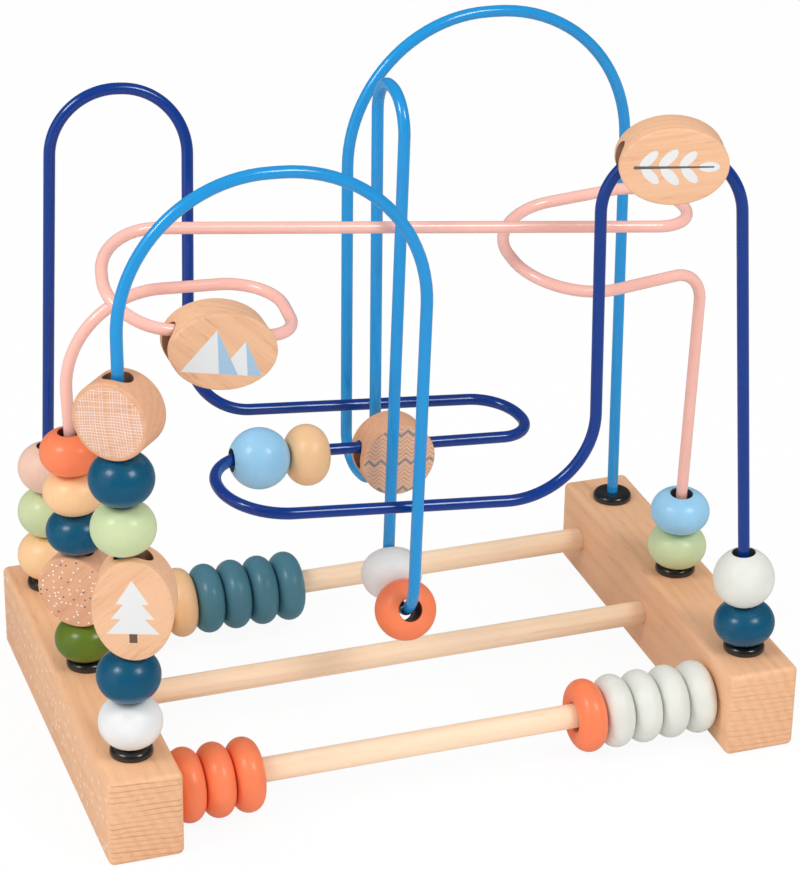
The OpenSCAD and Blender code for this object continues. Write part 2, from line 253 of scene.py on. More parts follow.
# a full turn of a profile about z
def turnRound(bm, profile, steps):
    bmesh.ops.spin(bm, geom=profile, cent=(0, 0, 0), axis=(0, 0, 1), angle=2 * math.pi,
                   steps=steps, use_merge=True, use_duplicate=False)
    bmesh.ops.remove_doubles(bm, verts=bm.verts, dist=merge)
    bmesh.ops.recalc_face_normals(bm, faces=bm.faces)


def easeEdges(bm, edges, width, steps):
    bmesh.ops.bevel(bm, geom=edges, offset=width, segments=steps, profile=0.5,
                    affect="EDGES", material=-1)


# edges that lie square to an axis, 0 for x to 2 for z
def squareTo(bm, axis):
    return [edge for edge in bm.edges
            if abs(edge.verts[0].co[axis] - edge.verts[1].co[axis]) < close]


# edges of the circles of a radius about z, so far above or below the middle
def circleEdges(bm, radius, height):
    def onCircle(vert):
        return (abs(vert.co.xy.length - radius) < close and
                abs(abs(vert.co.z) - height) < close)

    return [edge for edge in squareTo(bm, 2) if all(onCircle(vert) for vert in edge.verts)]


def roundBar(radius, long, sides):
    bm = bmesh.new()
    bmesh.ops.create_cone(bm, cap_ends=True, cap_tris=False, segments=sides,
                          radius1=radius, radius2=radius, depth=long)
    return bm


def middleOf(node):
    low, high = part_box(node)
    return (low + high) / 2


# matrix that puts a piece's bore along a direction and its face to another
def facing(origin, along, look):
    z = along.normalized()
    y = -(look - look.dot(z) * z).normalized()
    x = y.cross(z)
    turned = Matrix((x, y, z)).transposed().to_4x4()
    return Matrix.Translation(origin) @ turned


# level direction, so many degrees to the right of straight ahead
def ahead(degrees):
    angle = math.radians(degrees)
    return Vector((math.sin(angle), -math.cos(angle), 0))


# direction of the wire or the rod through a moving piece
def boreOf(node):
    joint = joints[node]
    axis = Vector(joint["axis"])
    if joint["type"] == "slide":
        return axis
    reach = middleOf(node) - Vector(joint["pos_m"])
    return axis.cross(reach).normalized()


# wood: growth rings about a far heart, long fibres and short flecks
grain = {
    "cloudScale": 18, "ringDetail": 2.0, "ringDetailScale": 0.6,
    "fibreDetail": 4, "fibreRoughness": 0.6, "fleckFrom": (0.60, 0.72), "toneFrom": (-0.1, 0.9),
    "bumpDepth": 0.3 * mm, "glossSpread": 0.2, "coatRoughness": 0.3,
}


def woodColour(tree, coords, wood):
    heart = coords.placed(wood["heart"], wood["turn"])
    cloud = heart.noise(grain["cloudScale"], detail=2)
    ringLine = tree.add("ShaderNodeTexWave", {"wave_type": "RINGS", "rings_direction": "Y"}, {
        "Vector": heart, "Scale": wood["ringScale"], "Distortion": wood["ringWander"],
        "Detail": grain["ringDetail"], "Detail Scale": grain["ringDetailScale"]}, 1)
    fibres = heart.placed(scale=wood["grainStretch"])
    fibre = fibres.noise(1.0, grain["fibreDetail"], grain["fibreRoughness"])
    flecks = heart.placed(scale=wood["fleckStretch"])
    fleck = flecks.noise(1.0, detail=2).rise(*grain["fleckFrom"])
    tone = (ringLine * wood["ringDepth"] + (fibre - 0.5) * wood["fibreDepth"] +
            (cloud - 0.5) * wood["cloudDepth"])
    body = tone.rise(*grain["toneFrom"]).mix(linear(wood["pale"]), linear(wood["deep"]))
    return (fleck * wood["fleckDepth"]).mix(body, linear(wood["fleck"])), fibre


def finishWood(tree, colour, fibre, wood):
    finishPrincipled(tree, {
        "Base Color": colour, "Roughness": fibre * grain["glossSpread"] + wood["roughness"],
        "Normal": bumped(tree, fibre, wood["bump"], grain["bumpDepth"]),
        "Coat Weight": wood["coat"], "Coat Roughness": grain["coatRoughness"]})


# beams
beamWood = {
    "pale": (241, 189, 146), "deep": (225, 161, 116), "fleck": (200, 136, 94),
    "heart": (0.01, 0.0, 0.075), "turn": (0.03, 0.02, 0.0), "ringScale": 70.0, "ringWander": 0.9,
    "grainStretch": (520, 16, 520), "fleckStretch": (900, 90, 900),
    "ringDepth": 0.22, "fibreDepth": 0.7, "cloudDepth": 0.7, "fleckDepth": 0.3,
    "bump": 0.08, "roughness": 0.38, "coat": 0.12,
}
speckle = {
    "colour": (250, 247, 242), "cells": 260.0, "stretch": (1, 0.75, 1), "drop": 0.3,
    "size": (0.16, 0.30), "strength": 0.5, "skin": 0.2 * mm,
}
endGrain = {
    "line": (186, 122, 82), "pitch": 2.3 * mm, "slope": 0.05, "stray": 2.6 * mm, "strayScale": 48,
    "width": (0.04, 0.17), "fade": (26, 1, 420), "fadeFrom": (0.3, 0.62),
    "reach": (1.2 * mm, 0.3 * mm),
}
leftBeech = {"name": "speckledBeech", "seed": (0.3, 0.12, 0.0), "endDepth": 0.62,
             "speckled": True}
rightBeech = {"name": "plainBeech", "seed": (0.11, 0.43, 0.006), "endDepth": 0.36,
              "speckled": False}
beam = {
    "width": 30 * mm, "length": 182 * mm, "height": 37 * mm, "round": 2.5 * mm, "roundSteps": 5,
    "footX": 129 * mm, "footY": 70 * mm, "rodHole": 10.3 * mm, "rodDepth": 12.15 * mm,
    "spigotHole": 9.3 * mm, "spigotDepth": 6.15 * mm, "holeSides": 48, "run": 1 * mm,
}


def beamMaterial(beech):
    material, tree = newMaterial(beech["name"])
    coords = objectPlace(tree)
    seeded = coords.placed(beech["seed"])
    colour, fibre = woodColour(tree, seeded, beamWood)
    x, y, z = coords.parts()
    # sawn ends, with year lines that lie almost level
    ends = y.size().rise(*[beam["length"] / 2 - reach for reach in endGrain["reach"]])
    stray = (seeded.noise(endGrain["strayScale"], detail=2) - 0.5) * endGrain["stray"]
    level = (z + x * endGrain["slope"] + stray) / endGrain["pitch"]
    streaks = coords.placed(beech["seed"], scale=endGrain["fade"])
    fade = streaks.noise(1.0, detail=2).rise(*endGrain["fadeFrom"])
    lines = (1 - level.fromMiddle().rise(*endGrain["width"])) * fade
    colour = (lines * ends * beech["endDepth"]).mix(colour, linear(endGrain["line"]))
    if beech["speckled"]:
        outer = x < -(beam["footX"] + beam["width"] / 2 - speckle["skin"])
        near, pick = coords.placed(scale=speckle["stretch"]).cells("3D", speckle["cells"])
        kept = pick.parts()[0] > speckle["drop"]
        specks = (1 - near.rise(*speckle["size"])) * kept * outer * speckle["strength"]
        colour = specks.mix(colour, linear(speckle["colour"]))
    finishWood(tree, colour, fibre, beamWood)
    return material


def makeBeam(node, side, beech):
    bm = bmesh.new()
    bmesh.ops.create_cube(bm, size=1)
    bmesh.ops.scale(bm, vec=(beam["width"], beam["length"], beam["height"]), verts=bm.verts)
    easeEdges(bm, bm.edges[:], beam["round"], beam["roundSteps"])
    move(bm, (side * beam["footX"], 0, beam["height"] / 2))
    inward = beam["footX"] - beam["width"] / 2 + (beam["rodDepth"] - beam["run"]) / 2
    sunk = beam["height"] - (beam["spigotDepth"] - beam["run"]) / 2
    sides = beam["holeSides"]
    cutters = []
    for row in (-1, 0, 1):
        hole = roundBar(beam["rodHole"] / 2, beam["rodDepth"] + beam["run"], sides)
        quarterTurn(hole, "Y")
        move(hole, (side * inward, row * beam["footY"], beam["height"] / 2))
        socket = roundBar(beam["spigotHole"] / 2, beam["spigotDepth"] + beam["run"], sides)
        move(socket, (side * beam["footX"], row * beam["footY"], sunk))
        cutters += [hole, socket]
    putPiece(carve(bm, cutters), node + ".planed", node, "frame", beamMaterial(beech))


makeBeam("left_beam", -1, leftBeech)
makeBeam("right_beam", 1, rightBeech)
print("beams done")

# rods
rodWood = {
    "pale": (254, 226, 194), "deep": (246, 204, 164), "fleck": (228, 176, 134),
    "heart": (0.0, 0.03, 0.012), "turn": (0.0, 0.0, math.pi / 2),
    "ringScale": 110.0, "ringWander": 2.0,
    "grainStretch": (900, 14, 900), "fleckStretch": (1500, 70, 1500),
    "ringDepth": 0.25, "fibreDepth": 0.9, "cloudDepth": 0.5, "fleckDepth": 0.22,
    "bump": 0.08, "roughness": 0.46, "coat": 0.0,
}
rod = {
    "width": 10 * mm, "length": 252 * mm, "sides": 48, "endRound": 0.6 * mm, "endSteps": 2,
    "seedStep": (0.37, 0.0, 0.021),
}


def makeRod(node, seed):
    material, tree = newMaterial("rodBirch." + node)
    colour, fibre = woodColour(tree, objectPlace(tree).placed(seed), rodWood)
    finishWood(tree, colour, fibre, rodWood)
    bm = roundBar(rod["width"] / 2, rod["length"], rod["sides"])
    easeEdges(bm, squareTo(bm, 2), rod["endRound"], rod["endSteps"])
    quarterTurn(bm, "Y")
    move(bm, middleOf(node))
    putPiece(bm, node + ".turned", node, "frame", material)


for i, node in enumerate(("front_rod", "middle_rod", "back_rod")):
    makeRod(node, [step * i for step in rod["seedStep"]])
print("rods done")

# wires
wireCoat = {
    "mottle": 0.10, "mottleScale": 60, "mottleFrom": (0.3, 0.7), "mottleDark": 0.75,
    "ripple": 0.012, "rippleScale": 350, "rippleDepth": 0.4 * mm,
    "roughness": 0.14, "glossSpread": 0.1, "coat": 0.5, "coatRoughness": 0.06,
}
wire = {
    "width": 4.75 * mm, "sides": 24, "stepAngle": 4.0, "rise": 240 * mm, "collar": 3.5 * mm,
    "tenon": 12 * mm, "gap": 1.5 * mm, "footBend": 0.4, "smooth": 60,
}
# feet and corners as shares of the base and of the rise, and bends as shares of their room
lightBlueWire = {
    "start": (-1, -1), "end": (1, 1), "colour": (24, 149, 218),
    "corners": [(-1, -0.92, 0.965), (-0.055, -0.88, 0.94), (-0.069, -0.75071, 0.108),
                (-0.045, -0.17929, 0.09), (-0.01, -0.2, 0.965), (-0.01, 0.27, 0.965),
                (0, 0.31, 0.205), (-0.025, 0.71, 0.205), (-0.01, 0.8, 1), (0.96, 0.93, 0.975)],
    "bends": [0.98, 0.98, 1, 1, 1, 1, 0.95, 0.95, 0.98, 0.98],
}
darkBlueWire = {
    "start": (-1, 1), "end": (1, -1), "colour": (2, 54, 138),
    "corners": [(-0.925, 1.03, 0.91), (-0.497, 1, 0.895), (-0.58, 0.54, 0.363),
                (0.475, 0.52, 0.311), (0.505, 0.06, 0.3), (-0.615, 0.06, 0.345),
                (-0.605, -0.615, 0.335), (0.535, -0.68, 0.285), (0.507, -0.7, 0.905),
                (0.906, -0.9, 0.905)],
    "bends": [1, 1, 0.4, 1, 1, 1, 1, 0.51, 1, 1],
}
pinkWire = {
    "start": (-1, 0), "end": (1, 0), "colour": (255, 196, 182),
    "corners": [(-1.04, 0.05, 0.67), (-0.39, 0.03, 0.655), (-0.41, -0.65, 0.64),
                (-0.985, -0.63, 0.7), (-0.92, 0.04, 0.78), (0.985, -0.2, 0.685),
                (0.96, 0.41, 0.7), (0.37, 0.5, 0.665), (0.41, -0.46, 0.615), (0.995, -0.15, 0.6)],
    "bends": [0.97, 0.92, 0.72, 0.97, 0.96, 1, 1, 0.92, 1, 0.37],
}


def wireMaterial(name, colour):
    material, tree = newMaterial(name)
    coords = objectPlace(tree)
    mottle = coords.noise(wireCoat["mottleScale"])
    deep = [wireCoat["mottleDark"] * c for c in colour]
    patches = mottle.rise(*wireCoat["mottleFrom"]) * wireCoat["mottle"]
    ripple = coords.noise(wireCoat["rippleScale"], detail=2)
    finishPrincipled(tree, {
        "Base Color": patches.mix(linear(colour), linear(deep)),
        "Roughness": mottle * wireCoat["glossSpread"] + wireCoat["roughness"],
        "Normal": bumped(tree, ripple, wireCoat["ripple"], wireCoat["rippleDepth"]),
        "Coat Weight": wireCoat["coat"], "Coat Roughness": wireCoat["coatRoughness"]})
    return material


def wireCorners(route):
    def foot(side, z):
        return Vector((side[0] * beam["footX"], side[1] * beam["footY"], z))

    low, high = beam["height"] - wire["tenon"], beam["height"] + wire["collar"]
    start = [foot(route["start"], z) for z in (low, high)]
    middle = [foot((x, y), beam["height"] + z * wire["rise"]) for x, y, z in route["corners"]]
    end = [foot(route["end"], z) for z in (high, low)]
    return start + middle + end


# a circle drawn out along each straight and spun round each bend
def makeWire(node, route):
    corners = wireCorners(route)
    shares = [0, wire["footBend"]] + route["bends"] + [wire["footBend"], 0]
    bm = bmesh.new()
    bmesh.ops.create_circle(bm, cap_ends=True, segments=wire["sides"], radius=wire["width"] / 2)
    move(bm, corners[0])
    edges = bm.edges[:]
    here = corners[0]
    for i in range(1, len(corners)):
        before = corners[i] - corners[i - 1]
        along = before.normalized()
        last = i == len(corners) - 1
        room = 0
        if not last:
            beyond = corners[i + 1] - corners[i]
            after = beyond.normalized()
            room = shares[i] * (min(before.length, beyond.length) - wire["gap"]) / 2
        target = corners[i] - along * room
        grown = bmesh.ops.extrude_edge_only(bm, edges=edges)["geom"]
        verts = only(bmesh.types.BMVert, grown)
        bmesh.ops.translate(bm, vec=target - here, verts=verts)
        edges = [edge for edge in only(bmesh.types.BMEdge, grown)
                 if all(vert in verts for vert in edge.verts)]
        if not last:
            turn = along.angle(after)
            inward = (after - after.dot(along) * along).normalized()
            centre = target + inward * room / math.tan(turn / 2)
            steps = max(2, math.ceil(math.degrees(turn) / wire["stepAngle"]))
            grown = bmesh.ops.spin(bm, geom=edges, cent=centre, axis=-inward.cross(along),
                                   angle=turn, steps=steps, use_merge=False,
                                   use_duplicate=False)["geom_last"]
            edges = only(bmesh.types.BMEdge, grown)
            here = corners[i] + after * room
    bmesh.ops.edgeloop_fill(bm, edges=edges)
    bmesh.ops.recalc_face_normals(bm, faces=bm.faces)
    material = wireMaterial(node + ".coat", route["colour"])
    putPiece(bm, node + ".bent", node, "frame", material, smooth=wire["smooth"])


makeWire("light_blue_wire", lightBlueWire)
makeWire("dark_blue_wire", darkBlueWire)
makeWire("pink_wire", pinkWire)
print("wires done")

# collars
collarPlastic = {
    "colour": (20, 20, 22), "haze": (34, 34, 37), "hazeScale": 140,
    "bump": 0.05, "bumpScale": 700, "bumpDepth": 0.3 * mm,
    "roughness": 0.22, "glossSpread": 0.15, "coat": 0.5, "coatRoughness": 0.08,
}
collar = {
    "width": 17 * mm, "height": 3.5 * mm, "hole": 5.1 * mm, "dish": 0.1 * mm, "steps": 64,
    "round": 2.2 * mm, "roundSteps": 8, "foot": 0.5 * mm, "footSteps": 3,
    "mouth": 0.3 * mm, "mouthSteps": 3,
}


def collarMaterial():
    material, tree = newMaterial("blackCollar")
    coords = objectPlace(tree)
    haze = coords.noise(collarPlastic["hazeScale"])
    bumps = coords.noise(collarPlastic["bumpScale"], detail=2)
    finishPrincipled(tree, {
        "Base Color": haze.mix(linear(collarPlastic["colour"]), linear(collarPlastic["haze"])),
        "Roughness": haze * collarPlastic["glossSpread"] + collarPlastic["roughness"],
        "Normal": bumped(tree, bumps, collarPlastic["bump"], collarPlastic["bumpDepth"]),
        "Coat Weight": collarPlastic["coat"], "Coat Roughness": collarPlastic["coatRoughness"]})
    return material


def makeCollar(node, material):
    low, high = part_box(node)
    middle = Vector(((low.x + high.x) / 2, (low.y + high.y) / 2, beam["height"]))
    rim, hole, top = collar["width"] / 2, collar["hole"] / 2, collar["height"]
    lip = top - collar["dish"]
    bm = bmesh.new()
    side = [bm.verts.new(point) for point in
            ((hole, 0, 0), (hole, 0, lip), (rim, 0, top), (rim, 0, 0))]
    profile = [bm.edges.new(pair) for pair in zip(side, side[1:] + side[:1])]
    turnRound(bm, profile, collar["steps"])
    for radius, height, ease in ((rim, top, "round"), (rim, 0, "foot"), (hole, lip, "mouth")):
        easeEdges(bm, circleEdges(bm, radius, height), collar[ease], collar[ease + "Steps"])
    putPiece(bm, node + ".pressed", node, "frame", material,
             Matrix.Translation(middle))


blackCollar = collarMaterial()
for row in ("front", "middle", "back"):
    for side in ("left", "right"):
        makeCollar(row + "_" + side + "_collar", blackCollar)
print("collars done")

# beads and rings
paints = {
    "white_paint": {"colour": (235, 236, 235), "roughness": 0.42, "coat": 0.06},
    "teal_paint": {"colour": (1, 83, 115), "roughness": 0.28, "coat": 0.15},
    "light_green_paint": {"colour": (204, 218, 169), "roughness": 0.36, "coat": 0.14},
    "olive_paint": {"colour": (94, 118, 34), "roughness": 0.29, "coat": 0.15},
    "orange_paint": {"colour": (255, 134, 88), "roughness": 0.36, "coat": 0.14},
    "peach_paint": {"colour": (239, 200, 179), "roughness": 0.42, "coat": 0.06},
    "grey_paint": {"colour": (228, 229, 221), "roughness": 0.46, "coat": 0.0},
    "sky_paint": {"colour": (155, 210, 243), "roughness": 0.33, "coat": 0.2},
    "slate_paint": {"colour": (78, 132, 150), "roughness": 0.34, "coat": 0.1},
}
paintCoat = {
    "cloudScale": 90, "cloudFrom": (0.3, 0.7), "cloudShare": 0.5, "cloudDark": 0.93,
    "bump": 0.05, "bumpScale": 420, "bumpDepth": 0.4 * mm,
    "glossSpread": 0.12, "specular": 0.35, "coatRoughness": 0.12,
}
# painted shade in the bores: bare wood darkened to near black, standing in for the shade inside
# each hole
paintedBoreShade = {"shadedBare": (44, 20, 16), "share": 0.88, "edge": (4.7 * mm, 5.0 * mm), "dull": 0.5}
bareBead = {
    "pale": (249, 203, 152), "deep": (237, 182, 128), "fleck": (226, 168, 114),
    "heart": (0.02, 0.0, 0.03), "turn": (math.pi / 2, 0.0, 0.0),
    "ringScale": 120.0, "ringWander": 1.5,
    "grainStretch": (420, 22, 420), "fleckStretch": (900, 110, 900),
    "ringDepth": 0.1, "fibreDepth": 0.35, "cloudDepth": 0.5, "fleckDepth": 0.1,
    "bump": 0.04, "roughness": 0.26, "coat": 0.15,
}
flatBead = {"width": 25 * mm, "thick": 17 * mm, "bore": 9.2 * mm}
tallBead = {"width": 25 * mm, "thick": 20.5 * mm, "bore": 9.2 * mm}
ballBead = {"width": 25 * mm, "thick": 25 * mm, "bore": 9.2 * mm}
rodRing = {"width": 30 * mm, "thick": 11.7 * mm, "bore": 12 * mm, "ofEach": 4}
turning = {
    "sideSteps": 64, "steps": 72, "mouth": 0.5 * mm, "mouthSteps": 3, "steep": 0.7, "smooth": 50,
}
beads = {
    "front_left_white_bead": (tallBead, "white_paint"),
    "front_left_lower_teal_bead": (tallBead, "teal_paint"),
    "front_left_green_bead": (tallBead, "light_green_paint"),
    "front_left_upper_teal_bead": (tallBead, "teal_paint"),
    "middle_left_olive_bead": (flatBead, "olive_paint"),
    "middle_left_teal_bead": (flatBead, "teal_paint"),
    "middle_left_natural_bead": (flatBead, "natural_wood"),
    "middle_left_orange_bead": (flatBead, "orange_paint"),
    "back_left_natural_bead": (tallBead, "natural_wood"),
    "back_left_green_bead": (tallBead, "light_green_paint"),
    "back_left_peach_bead": (tallBead, "peach_paint"),
    "middle_right_green_bead": (flatBead, "light_green_paint"),
    "middle_right_sky_bead": (flatBead, "sky_paint"),
    "front_right_teal_bead": (flatBead, "teal_paint"),
    "front_right_ball_bead": (ballBead, "grey_paint"),
    "loop_sky_bead": (ballBead, "sky_paint"),
    "loop_natural_bead": (flatBead, "natural_wood"),
    "dip_orange_bead": (flatBead, "orange_paint"),
    "dip_white_bead": (tallBead, "white_paint"),
}
for i in range(rodRing["ofEach"]):
    for slot in ("orange_paint", "grey_paint", "slate_paint", "natural_wood"):
        beads["%s_ring_%d" % (slot.split("_")[0], i + 1)] = (rodRing, slot)


def paintMaterial(name, paint):
    material, tree = newMaterial(name)
    coords = objectPlace(tree)
    x, y = ownPlace(tree).parts()[:2]
    cloud = coords.noise(paintCoat["cloudScale"])
    deep = [paintCoat["cloudDark"] * c for c in paint["colour"]]
    patches = cloud.rise(*paintCoat["cloudFrom"]) * paintCoat["cloudShare"]
    tone = patches.mix(linear(paint["colour"]), linear(deep))
    # painted shade: the bore's walls take the dark, shaded bare-wood colour
    inside = 1 - x.reach(y).rise(*paintedBoreShade["edge"])
    tone = (inside * paintedBoreShade["share"]).mix(tone, linear(paintedBoreShade["shadedBare"]))
    smoothest = paint["roughness"] - paintCoat["glossSpread"] / 2
    bumps = coords.noise(paintCoat["bumpScale"])
    finishPrincipled(tree, {
        "Base Color": tone,
        "Roughness": cloud * paintCoat["glossSpread"] + smoothest + inside * paintedBoreShade["dull"],
        "Normal": bumped(tree, bumps, paintCoat["bump"], paintCoat["bumpDepth"]),
        "Specular IOR Level": paintCoat["specular"],
        "Coat Weight": paint["coat"], "Coat Roughness": paintCoat["coatRoughness"]})
    return material


def bareMaterial():
    material, tree = newMaterial("clearBead")
    colour, fibre = woodColour(tree, objectPlace(tree), bareBead)
    finishWood(tree, colour, fibre, bareBead)
    return material


# a ring turned from a circle with its bore cut off, and the bore's edges eased
def turnedRing(shape):
    bore = shape["bore"] / 2
    bm = bmesh.new()
    bmesh.ops.create_circle(bm, cap_ends=False, segments=turning["sideSteps"],
                            radius=shape["thick"] / 2)
    quarterTurn(bm, "X")
    move(bm, ((shape["width"] - shape["thick"]) / 2, 0, 0))
    bmesh.ops.bisect_plane(bm, geom=bm.verts[:] + bm.edges[:], plane_co=(bore, 0, 0),
                           plane_no=(1, 0, 0), clear_inner=True, dist=merge)
    bm.edges.new([vert for vert in bm.verts if len(vert.link_edges) == 1])
    turnRound(bm, bm.edges[:], turning["steps"])
    reach = max(abs(vert.co.z) for vert in bm.verts if abs(vert.co.xy.length - bore) < close)
    easeEdges(bm, circleEdges(bm, bore, reach), turning["mouth"], turning["mouthSteps"])
    return bm


finishes = {slot: paintMaterial(slot.replace("_paint", "Paint"), paint)
            for slot, paint in paints.items()}
finishes["natural_wood"] = bareMaterial()
for node, (shape, slot) in beads.items():
    along = boreOf(node)
    look = up if abs(along.z) < turning["steep"] else ahead(0)
    putPiece(turnedRing(shape), node + ".turned", node, node, finishes[slot],
             facing(middleOf(node), along, look), smooth=turning["smooth"])
print("beads and rings done")

# discs
discWood = {
    "pale": (240, 190, 150), "deep": (217, 155, 113), "fleck": (198, 136, 96),
    "heart": (0.05, 0.0, 0.02), "turn": (0.0, 0.0, 0.0), "ringScale": 75.0, "ringWander": 0.8,
    "grainStretch": (700, 20, 700), "fleckStretch": (1300, 80, 1300),
    "ringDepth": 0.2, "fibreDepth": 0.9, "cloudDepth": 0.4, "fleckDepth": 0.4,
    "bump": 0.1, "roughness": 0.44, "coat": 0.0,
}
roundWood = dict(discWood, pale=(228, 173, 136), deep=(208, 146, 107))
# painted shade on the walls of the discs' slots
paintedSlotShade = {"colour": (120, 62, 40), "share": 0.6, "over": 0.1 * mm}
disc = {
    "width": 31 * mm, "thick": 16 * mm, "edge": 0.9 * mm, "edgeSteps": 4, "sides": 128,
    "slotWidth": 8.5 * mm, "slotRun": 84 * mm, "slotSides": 40, "skin": 0.05 * mm, "smooth": 35,
}
ovalDisc = {"long": 42 * mm, "slotLong": 15 * mm, "wood": discWood}
roundDisc = {"long": 31 * mm, "slotLong": 12 * mm, "wood": roundWood}
crosshatch = {
    "colour": (247, 238, 238), "pitch": 1.15 * mm, "line": 0.16, "turn": 0.09,
    "stray": 2.6, "strayScale": 55, "drop": 0.12, "faintest": 0.25, "strength": 0.75,
    "reach": 13.9 * mm,
}
dots = {
    "pale": (250, 248, 246), "dark": (34, 66, 104), "cells": 420.0, "size": (0.13, 0.18),
    "drop": 0.42, "darkShare": 0.3,
}
zigzag = {
    "teal": (30, 134, 156), "pale": (246, 228, 218), "pitch": 1.8 * mm, "wave": 5.2 * mm,
    "swing": 2.3 * mm, "shift": 1.5 * mm, "line": 0.2, "bold": 0.08, "every": 7.0,
    "strength": 0.9, "faint": 0.55,
}
# outlines in mm, drawn upright, and grown to suit the disc
fir = {
    "colour": (228, 229, 228), "trunk": (112, 84, 66), "grow": 1.25,
    "tiers": [((-8, -7.5), (8, -7.5), (0, 1.5)), ((-6.6, -2.5), (6.6, -2.5), (0, 6)),
              ((-5, 2.5), (5, 2.5), (0, 10.5))],
    "stem": ((-1.2, -10.5), (1.2, -10.5), (1.2, -7.5), (-1.2, -7.5)),
}
peaks = {
    "colour": (228, 230, 231), "shade": (164, 196, 222), "grow": 1.25,
    "slopes": [((-12.5, -7), (5.5, -7), (-3.5, 7)), ((-1, -7), (13, -7), (6, 4))],
    "shades": [((-0.5, -7), (5.5, -7), (-3.5, 7)), ((8.5, -7), (13, -7), (6, 4))],
}
sprig = {
    "colour": (228, 229, 228), "vein": (92, 96, 100), "grow": 1.25,
    "stem": ((-12.5, -0.5), (12, -0.25), (12, 0.25), (-12.5, 0.5)),
    "leaves": [((-8, 2.6), (3.6, 1.5), 0.8), ((-7.4, -2.6), (3.6, 1.5), -0.8),
               ((-2, 2.8), (3.8, 1.6), 0.8), ((-1.4, -2.8), (3.8, 1.6), -0.8),
               ((4, 2.5), (3.4, 1.5), 0.8), ((4.6, -2.5), (3.4, 1.5), -0.8),
               ((10.5, 0), (3.2, 1.6), 0.0)],
}


# the two ways across a disc, and its printed front
def printFace(coords):
    x, y, z = coords.parts()
    return x, z, y < -(disc["thick"] / 2 - disc["skin"])


# any of some masks
def anyOf(masks):
    whole = masks[0]
    for mask in masks[1:]:
        whole = whole.maths("MAXIMUM", whole, mask)
    return whole


# one where a point lies inside a convex outline, given corner by corner, anticlockwise
def inOutline(across, high, corners):
    mask = None
    for (x0, z0), (x1, z1) in zip(corners, corners[1:] + corners[:1]):
        side = ((high - z0 * mm) * (x1 - x0) - (across - x0 * mm) * (z1 - z0)) > 0.0
        mask = side if mask is None else mask * side
    return mask


def inOutlines(across, high, outlines):
    return anyOf([inOutline(across, high, corners) for corners in outlines])


# one where a point lies inside an ellipse, given by its place, its size and its turn
def inEllipse(across, high, place, size, turn):
    x, z = across - place[0] * mm, high - place[1] * mm
    along = (x * math.cos(turn) + z * math.sin(turn)) / (size[0] * mm)
    aside = (z * math.cos(turn) - x * math.sin(turn)) / (size[1] * mm)
    return (along * along + aside * aside) < 1.0


def crosshatchPrint(coords, colour):
    x, z, front = printFace(coords)
    lines = []
    for turn in (crosshatch["turn"], crosshatch["turn"] - math.pi / 2):
        stray = (coords.noise(crosshatch["strayScale"], detail=1) - 0.5) * crosshatch["stray"]
        run = (x * math.cos(turn) + z * math.sin(turn)) / crosshatch["pitch"] + stray + turn
        chance = run.add("ShaderNodeTexWhiteNoise", {"noise_dimensions": "1D"},
                         {"W": run.floor() + turn})
        depth = chance * (1 - crosshatch["faintest"]) + crosshatch["faintest"]
        shown = (chance > crosshatch["drop"]) * depth
        gap = run.fromMiddle().rise(crosshatch["line"] / 2, crosshatch["line"])
        lines.append((1 - gap) * shown)
    within = x.reach(z) < crosshatch["reach"]
    mask = anyOf(lines) * front * within * crosshatch["strength"]
    return mask.mix(colour, linear(crosshatch["colour"]))


def dottedPrint(coords, colour):
    x, z, front = printFace(coords)
    flat = coords.add("ShaderNodeCombineXYZ", None, {0: x, 1: z})
    near, pick = flat.cells("2D", dots["cells"])
    tint, chance = pick.parts()[:2]
    mask = (1 - near.rise(*dots["size"])) * (chance > dots["drop"]) * front
    ink = (tint < dots["darkShare"]).mix(linear(dots["pale"]), linear(dots["dark"]))
    return mask.mix(colour, ink)


def zigzagPrint(coords, colour):
    x, z, front = printFace(coords)
    fold = (z / zigzag["wave"]).fromMiddle() * (2 * zigzag["swing"])
    level = (x - fold + zigzag["shift"]) / zigzag["pitch"]
    bold = level.maths("FLOORED_MODULO", level.floor(), zigzag["every"]) < 0.5
    depth = bold * (zigzag["strength"] - zigzag["faint"]) + zigzag["faint"]
    near = level.fromMiddle() - bold * zigzag["bold"]
    mask = (1 - near.rise(zigzag["line"] / 2, zigzag["line"])) * front * depth
    return mask.mix(colour, bold.mix(linear(zigzag["pale"]), linear(zigzag["teal"])))


def firPrint(coords, colour):
    x, z, front = printFace(coords)
    across, high = x / fir["grow"], z / fir["grow"]
    tiers = inOutlines(across, high, fir["tiers"])
    stem = inOutline(across, high, fir["stem"])
    colour = (stem * front).mix(colour, linear(fir["trunk"]))
    return (tiers * front).mix(colour, linear(fir["colour"]))


def peakPrint(coords, colour):
    x, z, front = printFace(coords)
    across, high = z / -peaks["grow"], x / peaks["grow"]
    slopes = inOutlines(across, high, peaks["slopes"])
    shades = inOutlines(across, high, peaks["shades"])
    colour = (slopes * front).mix(colour, linear(peaks["colour"]))
    return (shades * front).mix(colour, linear(peaks["shade"]))


def sprigPrint(coords, colour):
    x, z, front = printFace(coords)
    across, high = z / sprig["grow"], x / -sprig["grow"]
    leaves = anyOf([inEllipse(across, high, *leaf) for leaf in sprig["leaves"]])
    stem = inOutline(across, high, sprig["stem"])
    colour = (leaves * front).mix(colour, linear(sprig["colour"]))
    return (stem * front).mix(colour, linear(sprig["vein"]))


# painted shade: the walls of the slot darkened, standing in for the shade inside it
def slotShade(coords, shape, colour):
    x, y = coords.parts()[:2]
    straight = (shape["slotLong"] - disc["slotWidth"]) / 2
    beyond = x.maths("MAXIMUM", x.size() - straight, 0.0)
    inside = beyond.reach(y) < disc["slotWidth"] / 2 + paintedSlotShade["over"]
    return (inside * paintedSlotShade["share"]).mix(colour, linear(paintedSlotShade["colour"]))


